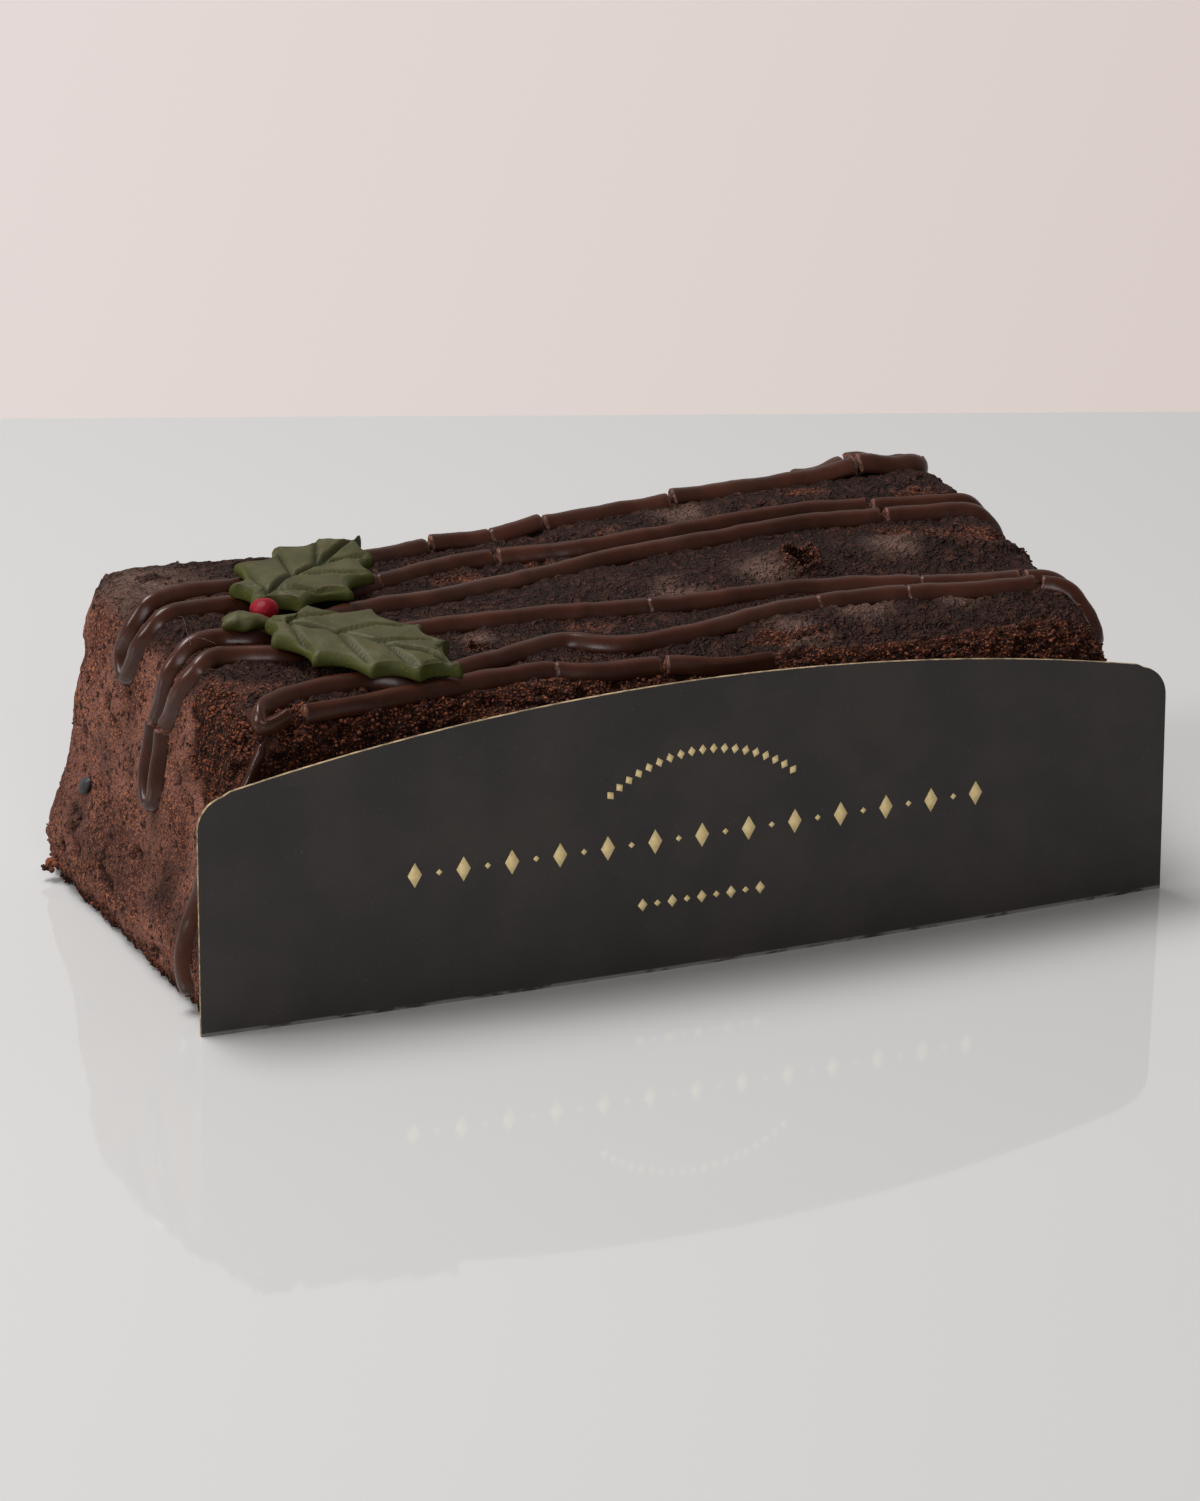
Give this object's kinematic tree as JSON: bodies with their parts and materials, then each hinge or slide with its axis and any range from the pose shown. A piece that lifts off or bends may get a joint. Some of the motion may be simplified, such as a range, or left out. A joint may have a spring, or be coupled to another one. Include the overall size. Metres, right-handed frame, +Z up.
{
  "type": "yule log cake",
  "caption": "Chocolate log cake with piped chocolate strands, moulded sugar holly with a berry, and a folded black card along its front.",
  "frame": {"origin": "middle of the bounding box, on the plane the cake rests on", "axes": "+X along the cake, with the holly at the -X end; the card stands along the -Y side; +Z up"},
  "size_m": [0.1901, 0.0932, 0.0644],
  "materials": {
    "sponge": "dark chocolate sponge with a baked, finely wrinkled top",
    "chocolate": "satin piped dark chocolate",
    "leaf_sugar": "moulded olive green sugar paste",
    "berry_sugar": "satin crimson sugar paste",
    "card": "black coated card with bare tan cut edges"
  },
  "bodies": {
    "root": {"cake_log": "sponge", "card": "card", "holly_berry": "berry_sugar", "holly_leaf_back": "leaf_sugar", "holly_leaf_front": "leaf_sugar", "holly_stub": "leaf_sugar", "piping_1a": "chocolate", "piping_1b": "chocolate", "piping_1c": "chocolate", "piping_2": "chocolate", "piping_3": "chocolate", "piping_4": "chocolate", "piping_5": "chocolate", "piping_6a": "chocolate", "piping_6b": "chocolate", "piping_back_return": "chocolate", "piping_back_tip": "chocolate", "piping_drip": "chocolate", "piping_left_loop_back": "chocolate", "piping_left_loop_middle": "chocolate", "piping_right_loop_back": "chocolate", "piping_right_loop_front": "chocolate"}
  },
  "joints": []
}
